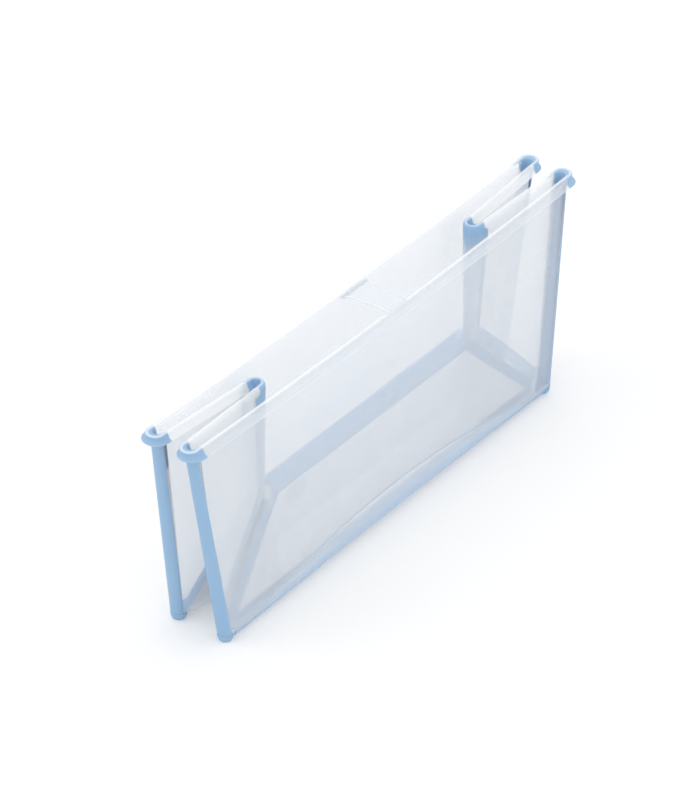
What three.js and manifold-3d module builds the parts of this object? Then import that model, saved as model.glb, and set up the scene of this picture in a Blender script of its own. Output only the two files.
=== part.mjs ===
// A folding baby bath, folded flat and standing upright on its four lower corners.
// Millimetres, +Z up. X runs along the bath, the front long wall faces -Y and the back one +Y.
// Frosted stiff panels are joined by soft hinge strips. Each shape is worked out for the quarter
// with x > 0 and y > 0, and the other quarters are its mirror images.
import * as THREE from 'three';
import { mergeVertices } from 'three/addons/utils/BufferGeometryUtils.js';
import Module from 'manifold-3d';

const wasm = await Module();
wasm.setup();

// Heights
const rimHeight = 240;            // top of the rim at the corners
const hingeHeight = 9;            // axis of the bottom edge hinges

// Corner hinges: a leaning axis from hingeHeight to rimHeight, and the outer radius of its bend
const cornerXLow = 256.1;
const cornerXTop = 291.1;
const cornerYLow = 28.3;
const cornerYTop = 20.1;
const cornerRadiusLow = 8;
const cornerRadiusTop = 6.5;

// Centre hinges of the ends: where the flat stops, and half the gap between the folded halves
const creaseXLow = 159.6;
const creaseXTop = 171.6;
const creaseGapLow = 1;
const creaseGapRidge = 2.4;
const creaseGapTop = 8.5;
const creaseFlat = 12;            // soft strip beside the bend
const creaseRise = 1.5;           // how far the end rims climb towards the centre hinge

// Bottom edge hinges and floor
const bottomAxisY = 29.8;
const bottomRadius = 6.5;         // outer radius of the bottom bend
const ridgeRadius = 5.5;          // inner radius of the bend on the floor's ridge
const floorHalfWidth = 105;       // floor half, from one bend's tangent to the other's
const ridgeX = 156.5;             // where the diagonals meet the ridge
const ridgeLimb = 11;             // flat part of the ridge strip on each floor half
const diagonalBand = 12;          // soft band along each diagonal
const bottomBand = 7;             // soft band along the floor's long edge

// Walls of the sheets
const panelWall = 2;              // stiff frosted panels
const stripWall = 2;              // soft hinge strips
const membraneWall = 1.5;         // soft membranes low on the ends
const gussetWall = 1;             // soft gussets folded behind the floor
const seam = 0.3;                 // clearance between neighbouring pieces
const gussetAxisDrop = 0.3;       // gusset hinge axis below the floor's underside
const gussetWedge = 1;            // degrees between a folded gusset and the floor half
const gussetTip = 15;             // how far a gusset's point stays from the corner
const gussetMiddleGap = 8.5;      // from its edge to the ridge, so that it swings clear of its twin
const gussetEndGap = 2.5;         // from its edge to the end half that it swings past

// Rim of the walls: a broad round top whose outer edge turns down into a skirt, flared like a bell
const rimDepth = 16;              // height of the soft corner pieces that carry the rim round
const rimTop = 4.6;               // where the skirt begins, outwards from the wall's face
const rimRound = 1.8;             // radius of the top's two edges
const rimWall = 1.7;              // thickness of the skirt
const skirtRadius = 7;            // radius of the skirt's hollow outer face
const skirtSweep = 65;            // degrees that the hollow face turns through
const channelSweep = 15;          // degrees of it that the channel under the rim leaves solid
const rimDip = 4.5;               // the long rims sink this much at mid-length
const endRimShare = 0.85;         // end rims stand out a little less
const creaseRimShare = 0.5;       // and less again round the centre hinge

// Lower bands of the long walls
const arch = 5.5;                 // the bottom edge rises this much at mid-length
const bandLow = 2.5;              // least height of the band above the bottom hinge
const bandStart = 5;              // the band's border starts this high at the corners
const bandRise = 27;              // and climbs this much more by mid-length
const bandPower = 1.3;            // sharpness of that climb
const bandProud = 0.5;            // the soft band stands out from the panel
const stripGround = 0.6;          // the bottom strip's clearance from the ground at its ends

// Lower border of the frosted panel on an end half
const endBorderLow = 25;
const endBorderOffset = 10.7;     // the border's height over the floor's diagonal
const membraneLow = 4.6;          // bottom edge of the membrane beside the foot
const membraneClimb = 4.8;        // and its climb towards the centre hinge
const footNotch = 10;             // length of membrane lifted over the foot

// Corner feet
const footFlat = 4.8;             // radius of the flat that touches the ground
const footStraight = 1;           // height of its straight top, above the round edge
const footRoom = 1.1;             // between the hinge axis and the foot, for the wall to lean in

// Closure tab over the middle of the rims
const tabX = 10;                  // centre of the tab
const tabBack = 42;               // width at its hinge
const tabFront = 31;              // width at its free end
const tabWall = 1.8;
const tabClearance = 0.4;         // above the rims
const tabCornerRadius = 5;
const knuckleRadius = 2.2;
const pinRadius = 0.9;
const pinClearance = 0.3;
const lugWidth = 6;
const lugInset = 6;               // each lug's distance from the tab's edge
const cutOverrun = 1;             // how far cutting shapes run past what they cut

// Drain plug in the back floor half
const plugX = -92;
const plugV = 52;                 // distance up the floor half from its long edge
const plugRadius = 13;
const plugFlange = 2.5;
const plugWall = 1.3;
const plugPull = 4;               // height of the finger ridge
const plugPullWidth = 3;
const plugPullLength = 16;
const seatWidth = 4;
const seatDepth = 0.8;            // the seat ring lies this far below the floor's inner face

const stationsAlong = 24;         // loft stations along a long wall
const coveSteps = 4;
const bendSteps = 10;

const frosted = { color: 0xccdbe6, roughness: 0.42, metalness: 0 };
const softBlue = { color: 0x3f7fb4, roughness: 0.5, metalness: 0 };
const softPale = { color: 0x6d9cc4, roughness: 0.45, metalness: 0 };
const pinWhite = { color: 0xe4ebf0, roughness: 0.35, metalness: 0 };

const mix = (a, b, share) => a + (b - a) * share;
const heightShare = (z) => (z - hingeHeight) / (rimHeight - hingeHeight);
const radians = THREE.MathUtils.degToRad;
const quarterTurn = Math.PI / 2;

// Flips a geometry's triangles if they face inwards, and merges its shared points.
function closed(geometry) {
  geometry.deleteAttribute('normal');
  geometry.deleteAttribute('uv');
  const merged = mergeVertices(geometry);
  const p = merged.getAttribute('position');
  const index = merged.getIndex();
  const [a, b, c] = [new THREE.Vector3(), new THREE.Vector3(), new THREE.Vector3()];
  let volume = 0;
  for (let i = 0; i < index.count; i += 3) {
    a.fromBufferAttribute(p, index.getX(i));
    b.fromBufferAttribute(p, index.getX(i + 1));
    c.fromBufferAttribute(p, index.getX(i + 2));
    volume += a.dot(b.cross(c));
  }
  if (volume < 0) {
    for (let i = 0; i < index.count; i += 3) {
      const first = index.getX(i);
      index.setX(i, index.getX(i + 2));
      index.setX(i + 2, first);
    }
  }
  merged.computeVertexNormals();
  return merged;
}

// A closed solid through a row of rings with the same number of points. The ends are capped with
// the triangles of the flat outline that the first and the last ring came from.
function loft(rings, firstOutline, lastOutline) {
  const count = rings[0].length;
  const positions = rings.flat().flatMap((p) => [p.x, p.y, p.z]);
  const indices = [];
  for (let r = 0; r + 1 < rings.length; r++) {
    for (let i = 0; i < count; i++) {
      const j = (i + 1) % count;
      const low = r * count;
      const high = low + count;
      indices.push(low + i, low + j, high + j, low + i, high + j, high + i);
    }
  }
  const signed = THREE.ShapeUtils.area(firstOutline) > 0;
  const cap = (outline, base, flip) => {
    for (const [i, j, k] of THREE.ShapeUtils.triangulateShape(outline, [])) {
      indices.push(base + i, base + (flip ? k : j), base + (flip ? j : k));
    }
  };
  cap(firstOutline, 0, signed);
  cap(lastOutline, (rings.length - 1) * count, !signed);
  const geometry = new THREE.BufferGeometry();
  geometry.setAttribute('position', new THREE.Float32BufferAttribute(positions, 3));
  geometry.setIndex(indices);
  return geometry;
}

// Mirrors a quarter's geometry to the side of x and of y that the two signs name.
function mirrored(geometry, sideX, sideY) {
  return geometry.clone().applyMatrix4(new THREE.Matrix4().makeScale(sideX, sideY, 1));
}

// A closed geometry as a solid for joining and cutting, and back
function asSolid(geometry) {
  const whole = closed(geometry);
  return new wasm.Manifold(new wasm.Mesh({
    numProp: 3,
    vertProperties: new Float32Array(whole.getAttribute('position').array),
    triVerts: new Uint32Array(whole.getIndex().array),
  }));
}

function asGeometry(solid) {
  const mesh = solid.getMesh();
  const geometry = new THREE.BufferGeometry();
  geometry.setAttribute('position', new THREE.Float32BufferAttribute(mesh.vertProperties, 3));
  geometry.setIndex(Array.from(mesh.triVerts));
  return geometry;
}

function piece(name, geometry, look) {
  const mesh = new THREE.Mesh(closed(geometry), new THREE.MeshStandardMaterial(look));
  mesh.name = name;
  return mesh;
}

// Corner axis, wall face and end face at a height
const cornerX = (z) => mix(cornerXLow, cornerXTop, heightShare(z));
const cornerY = (z) => mix(cornerYLow, cornerYTop, heightShare(z));
const cornerRadius = (z) => mix(cornerRadiusLow, cornerRadiusTop, heightShare(z));
const wallY = (z) => cornerY(z) + cornerRadius(z);

// The floor halves tilt from upright so that each bend is tangent to its sheet.
const floorReach = Math.hypot(floorHalfWidth, bottomRadius + ridgeRadius);
const floorTilt = Math.asin(bottomAxisY / floorReach)
  - Math.atan2(bottomRadius + ridgeRadius, floorHalfWidth);
const ridgeHeight = hingeHeight - (bottomRadius + ridgeRadius) * Math.sin(floorTilt)
  + floorHalfWidth * Math.cos(floorTilt);

// Rim section as [outwards from the wall's face, below the rim's top], from the channel between the
// wall and the skirt, round the skirt's lip and over the top to the inner face
function rimSection(wall, share) {
  const arc = (radius, degrees) => {
    const a = radians(degrees);
    return [rimTop + skirtRadius - radius * Math.cos(a), rimRound + radius * Math.sin(a)];
  };
  const steps = Array.from({ length: coveSteps + 1 }, (_, i) => i / coveSteps);
  const under = steps.map((t) => arc(skirtRadius + rimWall, mix(channelSweep, skirtSweep, t)));
  const face = steps.map((t) => arc(skirtRadius, mix(skirtSweep, 0, t)));
  const edge = (centre, side) => [1, 2].map((i) => {
    const a = (quarterTurn * i) / 2;
    return [centre + side * rimRound * Math.cos(a), rimRound * (1 - Math.sin(a))];
  });
  const outer = edge(rimTop - rimRound, 1);
  const inner = edge(rimRound - wall, -1).reverse();
  const channel = [[0, rimRound + rimWall + seam], [rimRound / 2, rimRound + rimWall / 2]];
  const points = [...channel, ...under, ...face, ...outer, ...inner, [-wall, rimRound]];
  return points.map(([out, below]) => [out > 0 ? out * share : out, below]);
}

// Long walls
// Height of the border between the soft band and the frosted panel, at a share of the half length
const bulgeAt = (share) => 1 - share * share;
function bandTop(share) {
  const climb = bandStart + bandRise * bulgeAt(share) ** bandPower + arch * bulgeAt(share);
  return Math.max(climb, hingeHeight + seam + bandLow);
}

function stations(count) {
  return Array.from({ length: count + 1 }, (_, i) => -1 + (2 * i) / count);
}

// A sheet of a long wall: each station's outline, as [outwards, height], runs out to the corners.
function wallSheet(outlineAt) {
  const outlines = stations(stationsAlong).map((share) => outlineAt(share));
  const rings = stations(stationsAlong).map((share, k) => outlines[k].map(
    ([out, z]) => new THREE.Vector3(share * (cornerX(z) - seam), wallY(z) + out, z)));
  const flat = (outline) => outline.map(([out, z]) => new THREE.Vector2(out, z));
  return loft(rings, flat(outlines[0]), flat(outlines[stationsAlong]));
}

function wallPanel() {
  return wallSheet((share) => {
    const top = rimHeight - rimDip * bulgeAt(share);
    const low = bandTop(share) + seam;
    const rim = rimSection(panelWall, 1).map(([out, below]) => [out, top - below]);
    return [[0, low], ...rim, [-panelWall, low]];
  });
}

function wallBand() {
  return wallSheet((share) => {
    const top = bandTop(share);
    const low = hingeHeight + seam;
    return [[0, low], [bandProud, low + bandProud], [bandProud, top - bandProud], [0, top],
      [-panelWall, top], [-panelWall, low]];
  });
}

// Bottom edge strip: a channel from the floor half's tangent down and round to the long wall,
// whose depth follows the arch of the edge
function bottomStrip() {
  const reach = cornerXLow - cornerRadiusLow - seam;
  const outlines = stations(stationsAlong).map((share) => {
    const depth = hingeHeight - stripGround - arch * bulgeAt(share);
    const points = [];
    for (const wall of [0, stripWall]) {
      const radius = bottomRadius - wall;
      const line = Array.from({ length: bendSteps + 1 }, (_, i) => {
        const a = Math.PI * (1 + i / bendSteps);
        const start = a < 1.5 * Math.PI ? radius * Math.sin(floorTilt) : 0;
        const reachY = a < 1.5 * Math.PI ? radius * Math.cos(floorTilt) : radius;
        return new THREE.Vector2(reachY * Math.cos(a), (depth - wall - start) * Math.sin(a) - start);
      });
      points.push(...(wall ? line.reverse() : line));
    }
    return points;
  });
  const rings = outlines.map((outline, k) => outline.map((p) => new THREE.Vector3(
    stations(stationsAlong)[k] * reach, bottomAxisY + p.x, hingeHeight + p.y)));
  return loft(rings, outlines[0], outlines[stationsAlong]);
}

const footHeight = hingeHeight - footRoom;

// Corner foot: a short soft stud with a flat base and a round edge
function cornerFoot() {
  const footRound = footHeight - footStraight;
  const profile = [new THREE.Vector2(0, 0), new THREE.Vector2(footFlat, 0)];
  for (let i = 1; i <= coveSteps; i++) {
    const a = mix(0, quarterTurn, i / coveSteps);
    profile.push(new THREE.Vector2(
      footFlat + (cornerRadiusLow - footFlat) * Math.sin(a), footRound * (1 - Math.cos(a))));
  }
  profile.push(new THREE.Vector2(cornerRadiusLow, footHeight), new THREE.Vector2(0, footHeight));
  const foot = new THREE.LatheGeometry(profile, 2 * bendSteps);
  foot.rotateX(quarterTurn);
  foot.translate(cornerXLow, cornerYLow, 0);
  return foot;
}

// End halves
// The flat of an end half at a height: it leaves the corner bend at a tangent and ends where the
// centre bend begins. Its outer face looks at the mid plane while folded.
function endLine(z) {
  const centre = new THREE.Vector2(cornerX(z), cornerY(z));
  const radius = cornerRadius(z);
  const gap = z < ridgeHeight
    ? mix(creaseGapLow, creaseGapRidge, (z - hingeHeight) / (ridgeHeight - hingeHeight))
    : mix(creaseGapRidge, creaseGapTop, (z - ridgeHeight) / (rimHeight - ridgeHeight));
  const crease = new THREE.Vector2(mix(creaseXLow, creaseXTop, heightShare(z)), gap);
  const reach = crease.clone().sub(centre);
  const length = Math.sqrt(reach.lengthSq() - radius * radius);
  const angle = reach.angle() - Math.atan2(radius, length);
  const along = new THREE.Vector2(Math.cos(angle), Math.sin(angle));
  const outwards = new THREE.Vector2(-along.y, along.x);
  const start = centre.clone().addScaledVector(outwards, radius);
  const bendRadius = gap / -outwards.y;
  return { centre, radius, start, along, outwards, length, angle, bendRadius, crease };
}

// A point of an end half's sheet: a distance along the flat, a height, and outwards from its face
function endPoint(along, z, out) {
  const line = endLine(z);
  const p = line.start.clone().addScaledVector(line.along, along).addScaledVector(line.outwards, out);
  return new THREE.Vector3(p.x, p.y, z);
}

const endRimTop = (share) => rimHeight + creaseRise * share;

// A sheet of an end half between two places on its flat, given by functions of the height
function endSheet(fromAt, toAt, outlineAt, steps) {
  const shares = Array.from({ length: steps + 1 }, (_, i) => i / steps);
  const outlines = shares.map((share) => outlineAt(share));
  const rings = shares.map((share, k) => outlines[k].map(
    ([out, z]) => endPoint(mix(fromAt(z), toAt(z), share), z, out)));
  const flat = (outline) => outline.map(([out, z]) => new THREE.Vector2(out, z));
  return loft(rings, flat(outlines[0]), flat(outlines[steps]));
}

const flatEnd = (z) => endLine(z).length - creaseFlat - seam;

// Border between the frosted panel and the membrane: level at the corner, then up the diagonal
function endBorder(share) {
  const away = share * flatEnd(hingeHeight);
  const climb = floorHalfWidth / (cornerXLow - ridgeX);
  return Math.max(endBorderLow, hingeHeight + endBorderOffset + away * climb);
}

function endPanel() {
  return endSheet(() => seam, flatEnd, (share) => {
    const low = endBorder(share) + seam;
    const top = endRimTop(share);
    const rim = rimSection(panelWall, endRimShare).map(([out, below]) => [out, top - below]);
    return [[0, low], ...rim, [-panelWall, low]];
  }, stationsAlong / 2);
}

function endMembrane() {
  const steps = stationsAlong / 2;
  const overFoot = footNotch / flatEnd(hingeHeight);
  return endSheet(() => seam, flatEnd, (share) => {
    const top = endBorder(share);
    const low = share < overFoot ? hingeHeight + seam : membraneLow + membraneClimb * share;
    return [[0, low], [0, top], [-membraneWall, top], [-membraneWall, low]];
  }, steps);
}

// Half of an end's centre hinge: a flat strip, then a quarter bend that stops at the mid plane.
function centreHingeHalf() {
  const bendShare = 0.5;
  const steps = bendSteps;
  const sectionAt = (share) => {
    const turned = Math.max(0, share - bendShare) / (1 - bendShare);
    const rimShare = mix(endRimShare, creaseRimShare, turned);
    const low = hingeHeight + seam;
    const rim = rimSection(stripWall, rimShare).map(([out, below]) => [out, endRimTop(1) - below]);
    return [[0, low], [0, ridgeHeight], ...rim, [-stripWall, ridgeHeight], [-stripWall, low]];
  };
  const pointAt = (share, out, z) => {
    const line = endLine(z);
    if (share <= bendShare) {
      return endPoint(line.length - creaseFlat * (1 - share / bendShare), z, out);
    }
    const radius = line.bendRadius - out;
    const centreX = line.crease.x + line.outwards.x * line.bendRadius;
    const from = Math.atan2(-line.outwards.y, -line.outwards.x);
    const to = Math.PI - Math.asin(seam / 2 / radius);
    const a = mix(from, to, (share - bendShare) / (1 - bendShare));
    return new THREE.Vector3(centreX + radius * Math.cos(a), radius * Math.sin(a), z);
  };
  const shares = Array.from({ length: steps + 1 }, (_, i) => i / steps);
  const outlines = shares.map(sectionAt);
  const rings = shares.map((share, k) => outlines[k].map(([out, z]) => pointAt(share, out, z)));
  const flat = (outline) => outline.map(([out, z]) => new THREE.Vector2(out, z));
  return loft(rings, flat(outlines[0]), flat(outlines[steps]));
}

// Corner strip: a bend from the long wall round to the end half
function bendAngles(z) {
  const line = endLine(z);
  const end = Math.atan2(line.outwards.y, line.outwards.x);
  return [quarterTurn, end];
}

function cornerStrip() {
  const top = rimHeight - rimDepth - seam;
  const heights = [footHeight + seam, ridgeHeight, top];
  const section = (z) => {
    const [from, to] = bendAngles(z);
    const points = [];
    for (const wall of [0, stripWall]) {
      for (let i = 0; i <= bendSteps; i++) {
        const a = wall ? mix(to, from, i / bendSteps) : mix(from, to, i / bendSteps);
        const r = cornerRadius(z) - wall;
        points.push(new THREE.Vector2(r * Math.cos(a), r * Math.sin(a)));
      }
    }
    return points;
  };
  const rings = heights.map((z) => section(z).map(
    (p) => new THREE.Vector3(cornerX(z) + p.x, cornerY(z) + p.y, z)));
  return loft(rings, section(heights[0]), section(top));
}

// Corner rim: the rim's flare carried round the bend
function cornerRim() {
  const sections = Array.from({ length: bendSteps + 1 }, (_, i) => {
    const share = mix(1, endRimShare, i / bendSteps);
    return [[0, rimDepth], ...rimSection(stripWall, share), [-stripWall, rimDepth]];
  });
  const rings = sections.map((section, k) => section.map(([out, below]) => {
    const z = rimHeight - below;
    const [from, to] = bendAngles(z);
    const a = mix(from, to, k / bendSteps);
    const r = cornerRadius(z) + out;
    return new THREE.Vector3(cornerX(z) + r * Math.cos(a), cornerY(z) + r * Math.sin(a), z);
  }));
  const flat = (section) => section.map(([out, below]) => new THREE.Vector2(out, -below));
  return loft(rings, flat(sections[0]), flat(sections[bendSteps]));
}

// Floor
// Places a shape drawn in the floor half's plane, x along the bath and y up from its long edge.
// Depth is measured from the inner face down through the underside.
function onFloor(geometry, depth) {
  const up = new THREE.Vector3(0, -Math.sin(floorTilt), Math.cos(floorTilt));
  const down = new THREE.Vector3(0, -Math.cos(floorTilt), -Math.sin(floorTilt));
  const origin = new THREE.Vector3(0, bottomAxisY, hingeHeight)
    .addScaledVector(down, bottomRadius - panelWall + depth);
  const place = new THREE.Matrix4().makeBasis(new THREE.Vector3(1, 0, 0), up, down);
  return geometry.applyMatrix4(place.setPosition(origin));
}

const diagonalSlope = (cornerXLow - ridgeX) / floorHalfWidth;
const diagonalX = (v) => cornerXLow - diagonalSlope * v;
const diagonalStretch = Math.hypot(1, diagonalSlope);

// The floor half's outline, drawn in from the diagonals by a distance
function floorOutline(low, high, inset) {
  const shape = new THREE.Shape();
  const x = (v) => diagonalX(v) - inset * diagonalStretch;
  shape.moveTo(-x(low), low);
  shape.lineTo(x(low), low);
  shape.lineTo(x(high), high);
  shape.lineTo(-x(high), high);
  shape.closePath();
  return shape;
}

function plate(shape, depth, curveSegments = bendSteps) {
  return new THREE.ExtrudeGeometry(shape, { depth, bevelEnabled: false, curveSegments });
}

const floorTop = floorHalfWidth - ridgeLimb - seam;

// Soft frame of a floor half: a band along the long edge and one along each diagonal
function floorFrame() {
  const inset = gussetAxisDrop + seam;
  const tip = gussetTip / diagonalStretch;
  const edge = (v, distance) => diagonalX(v) - distance * diagonalStretch;
  const shape = new THREE.Shape();
  const inner = inset + diagonalBand;
  shape.moveTo(-edge(tip, inset), seam);
  shape.lineTo(edge(tip, inset), seam);
  shape.lineTo(edge(tip, inset), tip);
  shape.lineTo(edge(floorTop, inset), floorTop);
  shape.lineTo(edge(floorTop, inner), floorTop);
  shape.lineTo(edge(bottomBand, inner), bottomBand);
  shape.lineTo(-edge(bottomBand, inner), bottomBand);
  shape.lineTo(-edge(floorTop, inner), floorTop);
  shape.lineTo(-edge(floorTop, inset), floorTop);
  shape.lineTo(-edge(tip, inset), tip);
  shape.closePath();
  return onFloor(plate(shape, panelWall), 0);
}

function floorPanel(drain) {
  const inset = gussetAxisDrop + seam + diagonalBand + seam;
  const shape = floorOutline(bottomBand + seam, floorTop, inset);
  if (drain) {
    shape.holes.push(new THREE.Path().absarc(plugX, plugV, plugRadius + seatWidth, 0, 2 * Math.PI, true));
  }
  return onFloor(plate(shape, panelWall, 2 * bendSteps), 0);
}

// Ridge strip: a bend over the top of the two floor halves with a flat limb on each
function ridgeStrip() {
  const half = [];
  for (const wall of [0, stripWall]) {
    const r = ridgeRadius + wall;
    const arc = Array.from({ length: bendSteps + 1 }, (_, i) => {
      const a = mix(floorTilt, Math.PI - floorTilt, i / bendSteps);
      return [r * Math.cos(a), r * Math.sin(a)];
    });
    const limb = (side) => [
      side * (r * Math.cos(floorTilt) + ridgeLimb * Math.sin(floorTilt)),
      r * Math.sin(floorTilt) - ridgeLimb * Math.cos(floorTilt)];
    const line = [limb(1), ...arc, limb(-1)];
    half.push(...(wall ? line.reverse() : line));
  }
  const shape = new THREE.Shape(half.map(([y, z]) => new THREE.Vector2(y, z)));
  const reach = ridgeX - seam;
  const strip = plate(shape, 2 * reach);
  const place = new THREE.Matrix4().makeBasis(
    new THREE.Vector3(0, 1, 0), new THREE.Vector3(0, 0, 1), new THREE.Vector3(1, 0, 0));
  return strip.applyMatrix4(place.setPosition(-reach, 0, ridgeHeight));
}

// Gusset: the triangle between a diagonal and the end wall, drawn flat and level with the floor
// half, then folded back about the diagonal until it lies behind the floor half.
function gusset() {
  const from = new THREE.Vector2(cornerXLow, 0);
  const to = new THREE.Vector2(ridgeX, floorHalfWidth);
  const diagonal = to.clone().sub(from).normalize();
  const across = new THREE.Vector2(diagonal.y, -diagonal.x);
  const start = from.clone().addScaledVector(diagonal, gussetTip).addScaledVector(across, seam);
  const end = to.clone().addScaledVector(across, seam);
  const middle = floorHalfWidth - gussetMiddleGap;
  const outer = from.x + cornerRadiusLow - membraneWall - gussetEndGap;
  const shape = new THREE.Shape();
  shape.moveTo(start.x, start.y);
  shape.lineTo(outer, start.y);
  shape.lineTo(outer, middle);
  shape.lineTo(end.x + diagonalSlope * gussetMiddleGap, middle);
  shape.closePath();
  const flat = onFloor(plate(shape, gussetWall), panelWall - gussetWall);
  const up = new THREE.Vector3(0, -Math.sin(floorTilt), Math.cos(floorTilt));
  const down = new THREE.Vector3(0, -Math.cos(floorTilt), -Math.sin(floorTilt));
  const axis = new THREE.Vector3(diagonal.x, 0, 0).addScaledVector(up, diagonal.y).normalize();
  const origin = new THREE.Vector3(cornerXLow, bottomAxisY, hingeHeight)
    .addScaledVector(down, bottomRadius + gussetAxisDrop);
  flat.translate(-origin.x, -origin.y, -origin.z);
  flat.applyMatrix4(new THREE.Matrix4().makeRotationAxis(axis, -Math.PI + radians(gussetWedge)));
  flat.translate(origin.x, origin.y, origin.z);
  return flat;
}

// Drain: a seat ring in the back floor half and a plug with a finger ridge on the inner side
function drainSeat() {
  const shape = new THREE.Shape().absarc(plugX, plugV, plugRadius + seatWidth - seam, 0, 2 * Math.PI, false);
  shape.holes.push(new THREE.Path().absarc(plugX, plugV, plugRadius, 0, 2 * Math.PI, true));
  return onFloor(plate(shape, panelWall - seatDepth, 2 * bendSteps), seatDepth);
}

function drainPlug() {
  const flangeLow = seatDepth - seam;
  const flangeTop = flangeLow - plugWall;
  const rim = plugRadius + plugFlange;
  const profile = [[0, flangeTop], [rim, flangeTop], [rim, flangeLow], [plugRadius - seam, flangeLow],
    [plugRadius - seam, panelWall], [0, panelWall]].map(([r, h]) => new THREE.Vector2(r, h));
  const disc = new THREE.LatheGeometry(profile, 2 * bendSteps);
  disc.rotateX(quarterTurn);
  const pull = new THREE.BoxGeometry(plugPullLength, plugPullWidth, plugPull);
  pull.translate(0, 0, flangeLow - plugWall / 2 - plugPull / 2);
  const plug = asGeometry(asSolid(disc).add(asSolid(pull)));
  plug.translate(plugX, plugV, 0);
  return onFloor(plug, 0);
}

// Closure tab: hinged on a pin inside the back rim, lying over the gap and on the front rim
const tabRimTop = rimHeight - rimDip;
const knuckleY = wallY(tabRimTop) - panelWall - 2 * seam - knuckleRadius;
const knuckleZ = tabRimTop + tabClearance + tabWall - knuckleRadius;
const lugPlaces = [-1, 1].map((side) => tabX + side * (tabBack / 2 - lugInset));

// A round bar along X through the tab's hinge
function hingeBar(radius, length, x) {
  const bar = new THREE.CylinderGeometry(radius, radius, length, 2 * bendSteps);
  bar.rotateZ(quarterTurn);
  return bar.translate(x, knuckleY, knuckleZ);
}

function closureTab() {
  const frontY = -(wallY(tabRimTop) + rimTop);
  const neckY = knuckleY - 2 * knuckleRadius;
  const shape = new THREE.Shape();
  const r = tabCornerRadius;
  shape.moveTo(-tabBack / 2, knuckleY);
  shape.lineTo(-tabBack / 2, neckY);
  shape.quadraticCurveTo(-tabFront / 2 - r, 0, -tabFront / 2, frontY + r);
  shape.quadraticCurveTo(-tabFront / 2, frontY, -tabFront / 2 + r, frontY);
  shape.lineTo(tabFront / 2 - r, frontY);
  shape.quadraticCurveTo(tabFront / 2, frontY, tabFront / 2, frontY + r);
  shape.quadraticCurveTo(tabFront / 2 + r, 0, tabBack / 2, neckY);
  shape.lineTo(tabBack / 2, knuckleY);
  shape.closePath();
  const sheet = plate(shape, tabWall, bendSteps);
  sheet.translate(tabX, 0, knuckleZ + knuckleRadius - tabWall);
  let tab = asSolid(sheet).add(asSolid(hingeBar(knuckleRadius, tabBack, tabX)));
  tab = tab.subtract(asSolid(hingeBar(pinRadius + pinClearance, tabBack + 2 * cutOverrun, tabX)));
  for (const x of lugPlaces) {
    const reach = 2 * (knuckleRadius + seam);
    const slot = new THREE.BoxGeometry(lugWidth + 2 * seam, reach, reach);
    tab = tab.subtract(asSolid(slot.translate(x, knuckleY, knuckleZ)));
  }
  return asGeometry(tab);
}

// One of the two lugs that the back wall's rim carries for the tab's pin
function tabLug(x) {
  const bar = asSolid(hingeBar(knuckleRadius, lugWidth, x));
  const root = wallY(tabRimTop) - panelWall / 2;
  const neck = new THREE.BoxGeometry(lugWidth, root - knuckleY, knuckleRadius);
  neck.translate(x, (knuckleY + root) / 2, knuckleZ - knuckleRadius / 2);
  const bore = asSolid(hingeBar(pinRadius + pinClearance, lugWidth + 2 * cutOverrun, x));
  return bar.add(asSolid(neck)).subtract(bore);
}

function backWallPanel() {
  const wall = lugPlaces.reduce((sum, x) => sum.add(tabLug(x)), asSolid(wallPanel()));
  return asGeometry(wall);
}

function tabPin() {
  const length = 2 * (lugPlaces[1] - tabX) + lugWidth;
  return hingeBar(pinRadius, length, tabX);
}

// Assembly
const bath = new THREE.Group();

const sides = [['left', -1], ['right', 1]];
const faces = [['front', -1], ['back', 1]];

for (const [face, sideY] of faces) {
  const wall = new THREE.Group();
  const panel = sideY > 0 ? backWallPanel() : wallPanel();
  wall.add(piece(`${face}_wall_panel`, mirrored(panel, 1, sideY), frosted));
  wall.add(piece(`${face}_wall_band`, mirrored(wallBand(), 1, sideY), softPale));
  wall.add(piece(`${face}_bottom_strip`, mirrored(bottomStrip(), 1, sideY), softBlue));
  wall.add(piece(`floor_${face}_frame`, mirrored(floorFrame(), 1, sideY), softPale));
  wall.add(piece(`floor_${face}_panel`, mirrored(floorPanel(sideY > 0), 1, sideY), frosted));
  for (const [side, sideX] of sides) {
    const corner = `${face}_${side}`;
    wall.add(piece(`${corner}_foot`, mirrored(cornerFoot(), sideX, sideY), softBlue));
    wall.add(piece(`${corner}_corner_strip`, mirrored(cornerStrip(), sideX, sideY), softBlue));
    wall.add(piece(`${corner}_corner_rim`, mirrored(cornerRim(), sideX, sideY), softBlue));
    wall.add(piece(`${corner}_end_panel`, mirrored(endPanel(), sideX, sideY), frosted));
    wall.add(piece(`${corner}_end_membrane`, mirrored(endMembrane(), sideX, sideY), softPale));
    wall.add(piece(`${corner}_centre_hinge`, mirrored(centreHingeHalf(), sideX, sideY), softBlue));
    wall.add(piece(`${corner}_floor_gusset`, mirrored(gusset(), sideX, sideY), softPale));
  }
  bath.add(wall);
}

bath.add(piece('ridge_strip', ridgeStrip(), softPale));
bath.add(piece('drain_seat', drainSeat(), softBlue));
bath.add(piece('drain_plug', drainPlug(), softBlue));
bath.add(piece('closure_tab', closureTab(), frosted));
bath.add(piece('tab_pin', tabPin(), pinWhite));

export default bath;
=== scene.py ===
import math

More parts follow.
